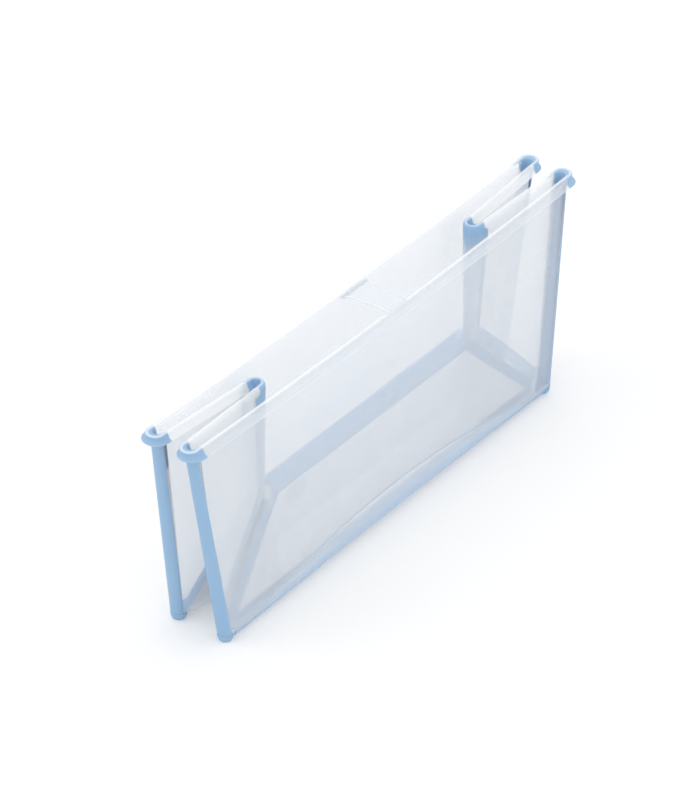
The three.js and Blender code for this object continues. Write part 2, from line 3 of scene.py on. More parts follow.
import bmesh
import bpy
import numpy as np
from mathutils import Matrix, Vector


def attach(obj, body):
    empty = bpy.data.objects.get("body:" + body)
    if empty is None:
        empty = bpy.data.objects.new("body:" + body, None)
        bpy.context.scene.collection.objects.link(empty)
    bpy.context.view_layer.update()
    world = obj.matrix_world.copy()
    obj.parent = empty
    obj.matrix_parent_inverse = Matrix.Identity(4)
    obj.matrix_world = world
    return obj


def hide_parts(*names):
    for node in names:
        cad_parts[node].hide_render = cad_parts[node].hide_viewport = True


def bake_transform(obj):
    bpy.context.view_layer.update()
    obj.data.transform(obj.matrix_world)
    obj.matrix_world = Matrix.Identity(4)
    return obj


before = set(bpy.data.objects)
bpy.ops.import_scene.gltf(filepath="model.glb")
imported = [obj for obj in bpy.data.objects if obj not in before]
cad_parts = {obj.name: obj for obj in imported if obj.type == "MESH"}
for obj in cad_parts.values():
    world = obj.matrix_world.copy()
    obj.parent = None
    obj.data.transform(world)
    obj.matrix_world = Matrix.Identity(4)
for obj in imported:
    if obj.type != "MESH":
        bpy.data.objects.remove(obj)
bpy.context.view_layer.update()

# Long walls: two stiff panels of frosted polypropylene, injection moulded 2 mm thick. Each top
# edge rolls outwards over a narrow crest and drops into a flared skirt that is hollow below.
# The back panel's rim also carries two small lugs for the closure tab's pin.

# Sizes are in millimetres until a mesh is made.
MM = 0.001
RIM_Z, HINGE_Z = 240.0, 9.0
# Each pair is a value at the height of the bottom hinges and one at the rim.
CORNER_X, CORNER_Y, CORNER_R = (256.1, 291.1), (28.3, 20.1), (8.0, 6.5)
PANEL_T, STRIP_T, MEMBRANE_T = 2.0, 2.0, 1.5
RIM_DIP, ARCH = 4.5, 5.5
SEAM = 0.1
SOFT_EDGE = 0.35
BAND_START, BAND_RISE, BAND_POWER, BAND_LEAST = 5, 27, 1.3, 2.8
RIM_REACH, REACH_START, REACH_SLANT = 4.5, 14, 5
WELD, SHARP_ANGLE = 1e-6, math.radians(38)
# The rim's section from the wall's outer face to its inner face, as (outwards, below the top)
RIM_CURVE = [(0.0, 13.5), (0.15, 9.5), (0.6, 5.8), (1.6, 4.2), (2.7, 4.6), (3.8, 6.4),
             (5.6, 8.2), (7.6, 9.3), (8.5, 9.2), (8.64, 8.5), (7.4, 7.4), (5.9, 6.1), (4.9, 4.4),
             (4.3, 2.6), (3.8, 1.2), (3.0, 0.3), (1.9, 0.0), (0.6, 0.15), (-0.8, 1.0),
             (-1.6, 3.0), (-1.95, 6.0), (-2.0, 10.5)]
RIM_POINTS = 44
CREST_WIDTH, LIP_OUT, LIP_WIDTH, LIP_SHARE = 0.5, 8.6, 0.9, 0.15
# The rows of points along a stiff panel's faces
PANEL_ROWS = 12


def between(low, high, share):
    return low + (high - low) * share


def along_corner(pair, z):
    """One of the corner's sizes at a height."""
    return between(pair[0], pair[1], (z - HINGE_Z) / (RIM_Z - HINGE_Z))


def wall_y(z):
    """The distance of a long wall's outer face from the middle, at a height."""
    return along_corner(CORNER_Y, z) + along_corner(CORNER_R, z)


def eased(value):
    """A share from 0 to 1 that starts and ends softly."""
    s = min(max(value, 0), 1)
    return s * s * (3 - 2 * s)


def curve_through(points, count, steps=12):
    """A smooth open curve through the points, resampled to an even spacing."""
    p = np.array(points, float)
    p = np.vstack([2 * p[0] - p[1], p, 2 * p[-1] - p[-2]])
    fine = []
    for a, b, c, d in zip(p, p[1:], p[2:], p[3:]):
        for t in np.linspace(0, 1, steps, endpoint=False):
            fine.append(0.5 * (2 * b + (c - a) * t + (2 * a - 5 * b + 4 * c - d) * t ** 2
                               + (3 * b - a - 3 * c + d) * t ** 3))
    fine = np.array(fine + [p[-2]])
    run = np.r_[0, np.cumsum(np.linalg.norm(np.diff(fine, axis=0), axis=1))]
    even = np.linspace(0, run[-1], count)
    return np.column_stack([np.interp(even, run, fine[:, k]) for k in range(fine.shape[1])])


RIM_SECTION = curve_through(RIM_CURVE, RIM_POINTS)
# How much painted highlight each point of the section gets: a light line along the crest and a
# fainter one along the skirt's lip
RIM_CREST = [math.exp(-(below / CREST_WIDTH) ** 2)
             + LIP_SHARE * math.exp(-((out - LIP_OUT) / LIP_WIDTH) ** 2)
             for out, below in RIM_SECTION]


def rim_points(top, share, wall=PANEL_T):
    """The rim's section as (outwards, height) for a rim that stands out by a share."""
    spread = np.where(RIM_SECTION[:, 0] > 0, share, wall / PANEL_T)
    return [(o * s, top - b) for (o, b), s in zip(RIM_SECTION, spread)]


def sheet_outline(low, rim, rows, wall=PANEL_T):
    """A sheet's outline: up the outer face, over the rim and down the inner face."""
    outer = [(0, z) for z in np.linspace(low + SOFT_EDGE, rim[0][1], rows)[:-1]]
    inner = [(-wall, z) for z in np.linspace(rim[-1][1], low + SOFT_EDGE, rows)[1:]]
    return [(-SOFT_EDGE, low)] + outer + list(rim) + inner + [(SOFT_EDGE - wall, low)]


def sheet_crest(rows, strength=1.0):
    """The painted highlight share of each point of a sheet's outline, along its rim's crest and
    lip.
    """
    return [0.0] * rows + [share * strength for share in RIM_CREST] + [0.0] * rows


def placed(name, data):
    """A new object with this mesh, camera or lamp, linked to the scene."""
    made = bpy.data.objects.new(name, data)
    bpy.context.scene.collection.objects.link(made)
    return made


def object_from(name, points, faces, **shares):
    """A finished piece's object from points in millimetres, smooth except at hard edges.

    Each share is kept as an attribute of the mesh, one value for each point.
    """
    mesh = bpy.data.meshes.new(name)
    mesh.from_pydata([tuple(float(c) * MM for c in p) for p in points], [], faces)
    for key, values in shares.items():
        mesh.attributes.new(key, "FLOAT", "POINT").data.foreach_set("value", values)
    b = bmesh.new()
    b.from_mesh(mesh)
    bmesh.ops.remove_doubles(b, verts=b.verts, dist=WELD)
    bmesh.ops.recalc_face_normals(b, faces=b.faces)
    b.to_mesh(mesh)
    b.free()
    for polygon in mesh.polygons:
        polygon.use_smooth = True
    mesh.set_sharp_from_angle(angle=SHARP_ANGLE)
    return placed(name, mesh)


def loft(name, rings, **shares):
    """A closed skin through rings with the same number of points, capped at both ends.

    A share is one list, with a value for each point of a ring.
    """
    rings = np.array(rings, float)
    count, size = rings.shape[:2]
    faces = []
    for r in range(count - 1):
        for i in range(size):
            j = (i + 1) % size
            faces.append((r * size + i, r * size + j, (r + 1) * size + j, (r + 1) * size + i))
    faces.append(tuple(range(size)))
    faces.append(tuple((count - 1) * size + i for i in reversed(range(size))))
    return object_from(name, rings.reshape(-1, 3), faces,
                       **{key: list(values) * count for key, values in shares.items()})


def turned(rings, side_x, side_y):
    """The rings for another corner or side of the bath, as a mirror image."""
    return np.array(rings, float) * np.array([side_x, side_y, 1.0])


def bulge(share):
    """1 at mid-length and 0 at both ends, for a share from -1 to 1 along the bath."""
    return 1 - share * share


def band_top(share):
    """The height of the soft band's upper border along a long wall."""
    climb = BAND_START + BAND_RISE * bulge(share) ** BAND_POWER + ARCH * bulge(share)
    return max(climb, HINGE_Z + BAND_LEAST)


def reach_back(z, top):
    """How far the soft corner piece runs back along the rim, with a slanting end."""
    return RIM_REACH * eased((z - top + REACH_START) / REACH_SLANT)


def wall_sheet(name, outline_at, side_y, stations=96, **shares):
    """A long wall's sheet, lofted along the bath through the outline at each share."""
    rings = []
    for share in np.linspace(-1, 1, stations + 1):
        ring = []
        for out, z in outline_at(share):
            x = share * (along_corner(CORNER_X, z) - SEAM - reach_back(z, RIM_Z))
            ring.append((x, wall_y(z) + out, z))
        rings.append(ring)
    return loft(name, turned(rings, 1, side_y), **shares)


def panel_outline(share):
    top = RIM_Z - RIM_DIP * bulge(share)
    return sheet_outline(band_top(share) + SEAM, rim_points(top, 1), PANEL_ROWS)


class Wire:
    """A shader socket. Arithmetic on it adds Math nodes to its tree."""

    def __init__(self, tree, socket):
        self.tree, self.socket = tree, socket

    @classmethod
    def node(cls, tree, kind, settings=(), inputs=(), out=0):
        made = tree.nodes.new(kind)
        for key, value in dict(settings).items():
            if key == "stops":
                ramp = made.color_ramp.elements
                while len(ramp) < len(value):
                    ramp.new(0.5)
                for element, (place, colour) in zip(ramp, value):
                    element.position, element.color = place, colour
            else:
                setattr(made, key, value)
        for key, value in dict(inputs).items():
            if isinstance(value, Wire):
                tree.links.new(value.socket, made.inputs[key])
            else:
                made.inputs[key].default_value = value
        return cls(tree, made.outputs[out])

    def add(self, kind, settings=(), inputs=(), out=0):
        return Wire.node(self.tree, kind, settings, inputs, out)

    def maths(self, operation, first, second, clamp=False):
        return self.add("ShaderNodeMath", {"operation": operation, "use_clamp": clamp},
                        {0: first, 1: second})

    def __add__(self, other):
        return self.maths("ADD", self, other)

    def __sub__(self, other):
        return self.maths("SUBTRACT", self, other)

    def __mul__(self, other):
        return self.maths("MULTIPLY", self, other)

    def __rsub__(self, other):
        return self.maths("SUBTRACT", other, self)

    def clamped(self):
        return self.maths("ADD", self, 0, clamp=True)

    __radd__, __rmul__ = __add__, __mul__


def srgb(r, g, b):
    """A colour written as the eye sees it, 0 to 255, for a shader."""
    return tuple((c / 255 / 12.92 if c <= 10 else ((c / 255 + 0.055) / 1.055) ** 2.4)
                 for c in (r, g, b)) + (1.0,)


# The numbers of the Mix node's sockets for colours
MIX_SHARE, MIX_FIRST, MIX_SECOND, MIX_RESULT = 0, 6, 7, 2
OBJECT_PLACE, ATTRIBUTE_VALUE = 3, 2


def blended(wire, share, first, second):
    """One colour passing into another by a share."""
    return wire.add("ShaderNodeMix", {"data_type": "RGBA"},
                    {MIX_SHARE: share, MIX_FIRST: first, MIX_SECOND: second}, out=MIX_RESULT)


def new_material(name, **constants):
    """A named material, its Principled node with these constants, and its object coordinates."""
    material = bpy.data.materials.new(name)
    material.use_nodes = True
    tree = material.node_tree
    shader = tree.nodes["Principled BSDF"]
    for socket, value in constants.items():
        shader.inputs[socket.replace("_", " ")].default_value = value
    place = Wire.node(tree, "ShaderNodeTexCoord", out=OBJECT_PLACE)
    return material, shader, place


def feed(shader, **wires):
    """Links each wire to the shader's socket of that name."""
    for socket, wire in wires.items():
        wire.tree.links.new(wire.socket, shader.inputs[socket.replace("_", " ")])


def share_of(place, key):
    """A share that the mesh carries as its own attribute, and 0 on a mesh without it."""
    return place.add("ShaderNodeAttribute", {"attribute_name": key}, out=ATTRIBUTE_VALUE)


# Painted light: a faint glow in the milky and soft materials, which stands in for the light that
# milky plastic passes on inside itself beyond the bounces that are rendered
INNER_LIGHT = {"Emission_Color": (0.93, 0.96, 1.0, 1.0), "Emission_Strength": 0.055}


def noise(place, scale, detail=3.0, roughness=0.5):
    return place.add("ShaderNodeTexNoise", {}, {"Vector": place, "Scale": scale,
                                                "Detail": detail, "Roughness": roughness})


def bumped(place, height, distance, strength):
    return place.add("ShaderNodeBump", {}, {"Height": height, "Distance": distance,
                                            "Strength": strength})


def frosted(name, body_colour, thin_colour, alpha, alpha_swing):
    """Frosted plastic: eroded mould grain, faint milky clouds, small rubbed patches and a painted
    highlight on its crests.
    """
    material, shader, place = new_material(name, IOR=1.49, Specular_IOR_Level=0.35,
                                           **INNER_LIGHT)
    clouds = noise(place, 9, 3)
    grain = noise(place, 1500, 2, 0.6)
    rubbed = noise(place, 120, 4, 0.65)
    # The crest share paints a highlight: lighter, less clear and a little glossier plastic along
    # the rims' crests and lips and the tab's raised edges.
    crest = share_of(place, "crest")
    body = blended(place, clouds, body_colour, thin_colour)
    clearness = alpha + (clouds - 0.5) * alpha_swing + (grain - 0.5) * 0.04
    feed(shader, Base_Color=blended(place, crest.clamped(), body, srgb(244, 247, 251)),
         Roughness=(0.36 + grain * 0.16 + rubbed * 0.1 - crest * 0.12).clamped(),
         Alpha=(clearness + crest * 0.4).clamped(),
         Normal=bumped(place, grain + clouds * 0.6, 0.00012, 0.55))
    material.surface_render_method = "BLENDED"
    return material


frosted_panel = frosted("frosted_panel", srgb(233, 238, 243), srgb(227, 233, 241), 0.29, 0.06)


def finish_piece(piece, material, replaced, body=None, blend=None):
    """Gives a finished mesh its material and hides the nodes that it replaces. It is parented to
    its body, or, when it blends between bodies, only has its place baked into its points.
    """
    piece.data.materials.clear()
    piece.data.materials.append(material)
    if replaced:
        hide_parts(*replaced)
    if blend:
        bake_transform(piece)
    else:
        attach(piece, body)
    return piece


FACES = (("front", -1), ("back", 1))
SIDES = (("left", -1), ("right", 1))
CORNERS = [(f"{face}_{side}", face, side_x, side_y)
           for face, side_y in FACES for side, side_x in SIDES]
EDGE_ANGLE = 0.7


def plate(name, outline, low, high, place, hole=None, bevel=0.3, side_y=1):
    """A flat plate with softened edges, from a flat outline and the depths of its two faces."""
    b = bmesh.new()
    rim = [b.verts.new((x, v, 0)) for x, v in outline]
    edges = [b.edges.new((rim[i], rim[(i + 1) % len(rim)])) for i in range(len(rim))]
    if hole:
        inner = [b.verts.new((x, v, 0)) for x, v in hole]
        edges += [b.edges.new((inner[i], inner[(i + 1) % len(inner)])) for i in range(len(inner))]
    fill = bmesh.ops.triangle_fill(b, edges=edges, use_beauty=True)
    faces = [f for f in fill["geom"] if isinstance(f, bmesh.types.BMFace)]
    raised = bmesh.ops.extrude_face_region(b, geom=faces)
    for v in raised["geom"]:
        if isinstance(v, bmesh.types.BMVert):
            v.co.z += high - low
    bmesh.ops.recalc_face_normals(b, faces=b.faces)
    sharp = [e for e in b.edges if len(e.link_faces) == 2 and e.calc_face_angle() > EDGE_ANGLE]
    bmesh.ops.bevel(b, geom=sharp, offset=bevel, segments=2, profile=0.5, affect="EDGES")
    for v in b.verts:
        p = place(v.co.x, v.co.y, low + v.co.z)
        v.co = (p[0], side_y * p[1], p[2])
    points = [tuple(v.co) for v in b.verts]
    b.verts.index_update()
    made = [tuple(v.index for v in f.verts) for f in b.faces]
    b.free()
    return object_from(name, points, made)


def circle(x, v, radius, count=64):
    """The outline of a round hole or knuckle."""
    return [(x + radius * math.cos(t), v + radius * math.sin(t))
            for t in np.linspace(0, 2 * math.pi, count, endpoint=False)]


def joined(name, parts):
    """One mesh from several closed ones."""
    b = bmesh.new()
    for part in parts:
        b.from_mesh(part.data)
        bpy.data.objects.remove(part, do_unlink=True)
    mesh = bpy.data.meshes.new(name)
    b.to_mesh(mesh)
    b.free()
    return placed(name, mesh)


def across(y, z, x):
    """Places a flat outline of y and z across the bath, at x."""
    return x, y, z


TAB_X, TAB_T, TAB_CLEAR = 10.0, 1.8, 0.4
LUG_REACH, LUG_W, LUG_FOOT, LUG_BACK = 15.0, 6.0, 2.5, 0.4
KNUCKLE_R, KNUCKLE_CLEAR, BORE_R, PIN_R = 2.2, 0.6, 1.2, 0.9
RIM_LOW = RIM_Z - RIM_DIP
KNUCKLE_Y = wall_y(RIM_LOW) - PANEL_T - KNUCKLE_CLEAR - KNUCKLE_R
KNUCKLE_Z = RIM_LOW + TAB_CLEAR + TAB_T - KNUCKLE_R


def tab_lug(x):
    """A lug that stands off the inside of the rim and holds the tab's pin."""
    root = wall_y(RIM_LOW) - PANEL_T / 2
    outline = [(root, KNUCKLE_Z - KNUCKLE_R - LUG_FOOT)]
    outline += [(KNUCKLE_Y + KNUCKLE_R * math.cos(a), KNUCKLE_Z + KNUCKLE_R * math.sin(a))
                for a in np.linspace(1.5 * math.pi, 0.3 * math.pi, 24)]
    outline.append((root, KNUCKLE_Z - LUG_BACK))
    return plate("lug", outline, x - LUG_W / 2, x + LUG_W / 2, across,
                 circle(KNUCKLE_Y, KNUCKLE_Z, BORE_R, 32), bevel=0.35)


for face, side_y in FACES:
    panel = wall_sheet(f"{face}_long_panel", panel_outline, side_y,
                       crest=sheet_crest(PANEL_ROWS))
    if side_y > 0:
        panel = joined(f"{face}_long_wall",
                       [panel, tab_lug(TAB_X - LUG_REACH), tab_lug(TAB_X + LUG_REACH)])
    finish_piece(panel, frosted_panel, [f"{face}_wall_panel"], f"{face}_wall")

# Lower bands of the long walls: a lens of soft translucent rubber, moulded on under each panel
# and standing half a millimetre proud of it, so that its upper border catches the light.
BAND_PROUD, BAND_INSET, BAND_ROUND, BAND_CHAMFER, BAND_FOOT = 0.5, 0.5, 0.15, 0.2, 0.1
BAND_ROWS, BAND_FADE = 8, 1.6


def band_outline(share):
    top, low = band_top(share), HINGE_Z + SEAM
    rows = np.linspace(low + BAND_INSET, top - BAND_INSET, BAND_ROWS)
    outer = [(BAND_PROUD, z) for z in rows]
    inner = [(-PANEL_T, z) for z in rows[::-1]]
    crown = [(BAND_PROUD - BAND_ROUND, top - BAND_ROUND), (0, top), (BAND_CHAMFER - PANEL_T, top)]
    return [(BAND_FOOT, low)] + outer + crown + inner + [(BAND_CHAMFER - PANEL_T, low)]


# The rubber is thicker and bluer towards the bottom hinge.
BAND_DEPTH = [(1 - k / (BAND_ROWS - 1)) ** BAND_FADE for k in range(BAND_ROWS)]
BAND_SHARES = [1.0] + BAND_DEPTH + [0.0] * 3 + BAND_DEPTH[::-1] + [1.0]
THICK_BLUE = srgb(190, 214, 238)


def soft_skin(name, colour, deep_colour, alpha):
    """Thin soft rubber with a fine satin skin, bluer and less clear along its thick bands."""
    material, shader, place = new_material(name, IOR=1.45, Specular_IOR_Level=0.3,
                                           **INNER_LIGHT)
    clouds = noise(place, 14, 3)
    grain = noise(place, 2200, 2, 0.6)
    band = share_of(place, "band")
    thin = blended(place, clouds, colour, deep_colour)
    feed(shader, Base_Color=blended(place, band.clamped(), thin, THICK_BLUE),
         Roughness=(0.42 + grain * 0.14 + clouds * 0.06).clamped(),
         Alpha=(alpha + (clouds - 0.5) * 0.08 + band * 0.26).clamped(),
         Normal=bumped(place, grain + clouds * 0.8, 0.0001, 0.5))
    material.surface_render_method = "BLENDED"
    return material


pale_membrane = soft_skin("pale_membrane", srgb(243, 247, 251), srgb(236, 242, 249), 0.34)

for face, side_y in FACES:
    band = wall_sheet(f"{face}_lower_band", band_outline, side_y, band=BAND_SHARES)
    finish_piece(band, pale_membrane, [f"{face}_wall_band"], f"{face}_wall")

# Corner strips: soft blue rubber moulded on between a long wall and an end half, bent round in a
# half turn while the bath is folded. At the top each carries the rim round the corner.
CREASE_X, CREASE_GAPS = (159.6, 171.6), (1.0, 2.4, 8.5)
FLOOR_HALF, BOTTOM_Y, BOTTOM_R, RIDGE_R = 105.0, 29.8, 6.5, 5.5
END_RIM, CREASE_RIM = 0.85, 0.5
FOOT_TOP = 7.9
# In the middle of the bend the rubber swells: on its inner side from 20 mm below the top, and on
# its crest from 4 mm below the top.
INNER_ROUND, INNER_START, CREST_ROUND, CREST_START, CREST_RUN = 2.2, 20, 1.6, 4, 3
CORNER_ROWS, OVERLAP = 26, 0.05
BEND_RUN = BOTTOM_R + RIDGE_R
FLOOR_TILT = (math.asin(BOTTOM_Y / math.hypot(FLOOR_HALF, BEND_RUN))
              - math.atan2(BEND_RUN, FLOOR_HALF))
RIDGE_Z = HINGE_Z - BEND_RUN * math.sin(FLOOR_TILT) + FLOOR_HALF * math.cos(FLOOR_TILT)


def end_line(z):
    """How an end half runs at a height: from the corner's centre and radius, where its flat
    starts, its direction and its outward side, its length, the crease and the crease's radius.
    """
    centre = np.array([along_corner(CORNER_X, z), along_corner(CORNER_Y, z)])
    radius = along_corner(CORNER_R, z)
    low, middle, high = CREASE_GAPS
    gap = np.interp(z, [HINGE_Z, RIDGE_Z, RIM_Z], CREASE_GAPS)
    if z > RIM_Z:
        gap = high + (z - RIM_Z) * (high - middle) / (RIM_Z - RIDGE_Z)
    if z < HINGE_Z:
        gap = low + (z - HINGE_Z) * (middle - low) / (RIDGE_Z - HINGE_Z)
    crease = np.array([along_corner(CREASE_X, z), gap])
    reach = crease - centre
    length = math.sqrt(reach @ reach - radius * radius)
    angle = math.atan2(reach[1], reach[0]) - math.atan2(radius, length)
    along = np.array([math.cos(angle), math.sin(angle)])
    outwards = np.array([-along[1], along[0]])
    start = centre + outwards * radius
    return centre, radius, start, along, outwards, length, crease, gap / -outwards[1]


def corner_strip(name, side_x, side_y, turns=28):
    """The half turn round a corner. Its first and last ring reach back along the rim."""
    rings = []
    for k in range(turns + 3):
        share = min(max((k - 1) / turns, 0), 1)
        rim = rim_points(RIM_Z, between(1, END_RIM, share), STRIP_T)
        ring = []
        for out, z in sheet_outline(FOOT_TOP + SEAM, rim, CORNER_ROWS, STRIP_T):
            swell = math.sin(math.pi * share)
            if out < -STRIP_T / 2:
                rise = min(max((z - RIM_Z + INNER_START) / INNER_START, 0), 1)
                out -= INNER_ROUND * swell * rise ** 2
            elif z > RIM_Z - CREST_START:
                out += CREST_ROUND * swell * min((z - RIM_Z + CREST_START) / CREST_RUN, 1)
            centre, radius, start, along, outwards, *_ = end_line(z)
            last = math.atan2(outwards[1], outwards[0])
            if last > math.pi / 2:
                last -= 2 * math.pi
            a = between(math.pi / 2, last, share)
            p = centre + (radius + out) * np.array([math.cos(a), math.sin(a)])
            if k == 0:
                p = p - np.array([reach_back(z, RIM_Z) + OVERLAP, 0])
            if k == turns + 2:
                p = p + along * (reach_back(z, RIM_Z) + OVERLAP)
            ring.append((p[0], p[1], z))
        rings.append(ring)
    return loft(name, turned(rings, side_x, side_y), crest=sheet_crest(CORNER_ROWS))


def moulded(name, colour, deep_colour):
    """Solid moulded rubber or plastic: satin, with faint flow marks and a painted highlight on its
    crests.
    """
    material, shader, place = new_material(name, IOR=1.45, Specular_IOR_Level=0.3)
    clouds = noise(place, 24, 3)
    grain = noise(place, 1800, 2, 0.6)
    crest = share_of(place, "crest")
    thin = share_of(place, "thin")
    thick_body = blended(place, clouds, colour, deep_colour)
    body = blended(place, thin.clamped(), thick_body, srgb(220, 232, 243))
    # Painted highlight: the crest share makes the colour a pale near-white blue and the rubber less
    # clear along its crests.
    feed(shader, Base_Color=blended(place, (crest * 0.75).clamped(), body, srgb(232, 241, 250)),
         Roughness=(0.4 + grain * 0.16 + clouds * 0.08 - crest * 0.08).clamped(),
         Alpha=(0.9 + (clouds - 0.5) * 0.08 + crest * 0.1 - thin * 0.25).clamped(),
         Normal=bumped(place, grain + clouds * 0.9, 0.00012, 0.5))
    material.surface_render_method = "BLENDED"
    return material


blue_hinge = moulded("blue_hinge", srgb(165, 198, 229), srgb(152, 190, 225))

MID_Z = 120

for corner, face, side_x, side_y in CORNERS:
    strip = corner_strip(f"{corner}_corner", side_x, side_y)
    x, y, r = (along_corner(size, MID_Z) for size in (CORNER_X, CORNER_Y, CORNER_R))
    finish_piece(strip, blue_hinge,
                 [f"{corner}_corner_strip", f"{corner}_corner_rim"],
                 blend=(f"{face}_wall", f"{corner}_end",
                        (side_x * x * MM, side_y * (y + r) * MM, MID_Z * MM),
                        (side_x * x * MM, side_y * (y - r) * MM, MID_Z * MM)))

# End halves: frosted panels like the long walls, folded inwards, with a soft membrane below a
# border that climbs along the floor's diagonal.
CREASE_FLAT, CREASE_RISE, NARROWING = 12.0, -3.0, 1.5
RIDGE_X = 156.5
BORDER_LOW, BORDER_OFFSET = 25.0, 10.7
MEMBRANE_LOW, MEMBRANE_CLIMB = 4.6, 4.8
FOOT_NOTCH, NOTCH_FROM, NOTCH_RUN = 10.0, 0.85, 0.3
# END_CREST is how strong the painted crest highlight is on the end halves.
END_CREST, END_BAND, END_ROUND = 0.2, 15.0, 0.3

# The folding panels are milkier than the long walls: a less clear copy of the frosted plastic,
# whose whiter colour is painted light that stands in for light lost between the layers inside.
milky_brightened_panel = frosted("milky_brightened_panel", srgb(252, 253, 255), srgb(248, 251, 254), 0.5, 0.06)


def end_point(distance, z, out):
    """A place on an end half: along it from the corner, at a height, and outwards from its face."""
    _, _, start, along, outwards, *_ = end_line(z)
    p = start + along * distance + outwards * out
    return p[0], p[1], z


def strip_width(z):
    """The width of the centre strip's flat, which is narrower where it carries the rim."""
    return CREASE_FLAT - NARROWING * reach_back(z, RIM_Z)


def flat_end(z):
    """Where an end half's stiff panel ends, measured from the corner."""
    return end_line(z)[5] - strip_width(z) - SEAM


def end_sheet(name, outline_at, side_x, side_y, steps=40, start_back=False, **shares):
    """An end half's sheet, lofted from the corner to its centre strip."""
    rings = []
    for share in np.linspace(0, 1, steps + 1):
        ring = []
        for out, z in outline_at(share):
            first = SEAM + reach_back(z, RIM_Z) if start_back else SEAM
            ring.append(end_point(between(first, flat_end(z), share), z, out))
        rings.append(ring)
    return loft(name, turned(rings, side_x, side_y), **shares)


def end_border(share):
    """The height of the border between an end half's panel and its membrane."""
    climb = FLOOR_HALF / (CORNER_X[0] - RIDGE_X)
    return max(BORDER_LOW, HINGE_Z + BORDER_OFFSET + share * flat_end(HINGE_Z) * climb)


def end_panel_outline(share):
    rim = rim_points(RIM_Z + CREASE_RISE * share, END_RIM)
    return sheet_outline(end_border(share) + SEAM, rim, PANEL_ROWS)


def membrane_outline(share):
    """A membrane's outline. Its bottom edge is lifted over the foot."""
    over_foot = FOOT_NOTCH / flat_end(HINGE_Z)
    past_foot = min(max((share - over_foot * NOTCH_FROM) / (over_foot * NOTCH_RUN), 0), 1)
    low = between(HINGE_Z + SEAM, MEMBRANE_LOW + MEMBRANE_CLIMB * share, past_foot)
    top = end_border(share)
    rows = np.r_[np.linspace(low + END_ROUND, top - END_BAND - 0.5, 7),
                 top - END_BAND, top - END_BAND / 2, top - END_ROUND]
    return ([(-END_ROUND, low)] + [(0, z) for z in rows]
            + [(-END_ROUND, top), (END_ROUND - MEMBRANE_T, top)]
            + [(-MEMBRANE_T, z) for z in rows[::-1]] + [(END_ROUND - MEMBRANE_T, low)])


# The upper rows, next to the border, are the membrane's thicker and bluer band.
MEMBRANE_SHARES = [0.0] * 8 + [1.0] * 8 + [0.0] * 8

for corner, face, side_x, side_y in CORNERS:
    half = end_sheet(f"{corner}_end_half", end_panel_outline, side_x, side_y,
                     start_back=True, crest=sheet_crest(PANEL_ROWS, END_CREST))
    finish_piece(half, milky_brightened_panel, [f"{corner}_end_panel"], f"{corner}_end")
    skin = end_sheet(f"{corner}_end_skin", membrane_outline, side_x, side_y,
                     band=MEMBRANE_SHARES)
    finish_piece(skin, pale_membrane, [f"{corner}_end_membrane"], f"{corner}_end")

# Centre hinges of the ends: soft blue rubber, moulded on to the flat of each end half and bent
# tightly in the middle of the end. It is thick and deep blue only where it carries the rim.
THICK_DEPTH, THINNING = 16, 14
# CREASE_CREST is how strong the painted crest highlight is on the centre hinges.
CREASE_CREST, CREASE_ROWS = 0.7, 24


def centre_hinge(name, side_x, side_y, flat_steps=6, bend_steps=18):
    rings = []
    at_rest = sheet_outline(HINGE_Z + SEAM, rim_points(RIM_Z, END_RIM), CREASE_ROWS, STRIP_T)
    thin = [min(max((RIM_Z - THICK_DEPTH - z) / THINNING, 0), 1) for _, z in at_rest]
    for k in range(flat_steps + bend_steps + 1):
        turned_share = max(0, (k - flat_steps) / bend_steps)
        spread = between(END_RIM, CREASE_RIM, turned_share)
        rim = rim_points(RIM_Z + CREASE_RISE, spread, STRIP_T)
        ring = []
        for out, z in sheet_outline(HINGE_Z + SEAM, rim, CREASE_ROWS, STRIP_T):
            _, _, start, along, outwards, length, crease, bend_r = end_line(z)
            if k <= flat_steps:
                ring.append(end_point(length - strip_width(z) * (1 - k / flat_steps), z, out))
                continue
            radius = bend_r - out
            centre_x = crease[0] + outwards[0] * bend_r
            first = math.atan2(-outwards[1], -outwards[0])
            last = math.pi - math.asin(min(OVERLAP / radius, 1))
            a = between(first, last, turned_share)
            ring.append((centre_x + radius * math.cos(a), radius * math.sin(a), z))
        rings.append(ring)
    return loft(name, turned(rings, side_x, side_y),
                crest=sheet_crest(CREASE_ROWS, CREASE_CREST), thin=thin)


for corner, face, side_x, side_y in CORNERS:
    strip = centre_hinge(f"{corner}_centre_strip", side_x, side_y)
    finish_piece(strip, blue_hinge, [f"{corner}_centre_hinge"], f"{corner}_end")

# Bottom strips and feet: a soft channel joins each long wall to its floor half, and a soft stud
# at each corner touches the ground.
STRIP_GROUND = 0.6


def bottom_strip(name, side_y, first=math.pi, last=2 * math.pi):
    """The channel under a long wall, between two angles of its bend. It arches at mid-length."""
    reach = CORNER_X[0] - CORNER_R[0] - SEAM
    rings = []
    for share in np.linspace(-1, 1, 73):
        depth = HINGE_Z - STRIP_GROUND - ARCH * bulge(share)
        loop = []
        for wall in (0, STRIP_T):
            radius = BOTTOM_R - wall
            line = []
            for a in np.linspace(first, last, 25):
                lift = max(0, -math.cos(a))
                start = radius * math.sin(FLOOR_TILT) * lift
                width = between(radius, radius * math.cos(FLOOR_TILT), lift)
                line.append((width * math.cos(a), (depth - wall - start) * math.sin(a) - start))
            loop += line[::-1] if wall else line
        rings.append([(share * reach, BOTTOM_Y + y, HINGE_Z + z) for y, z in loop])
    return loft(name, turned(rings, 1, side_y))


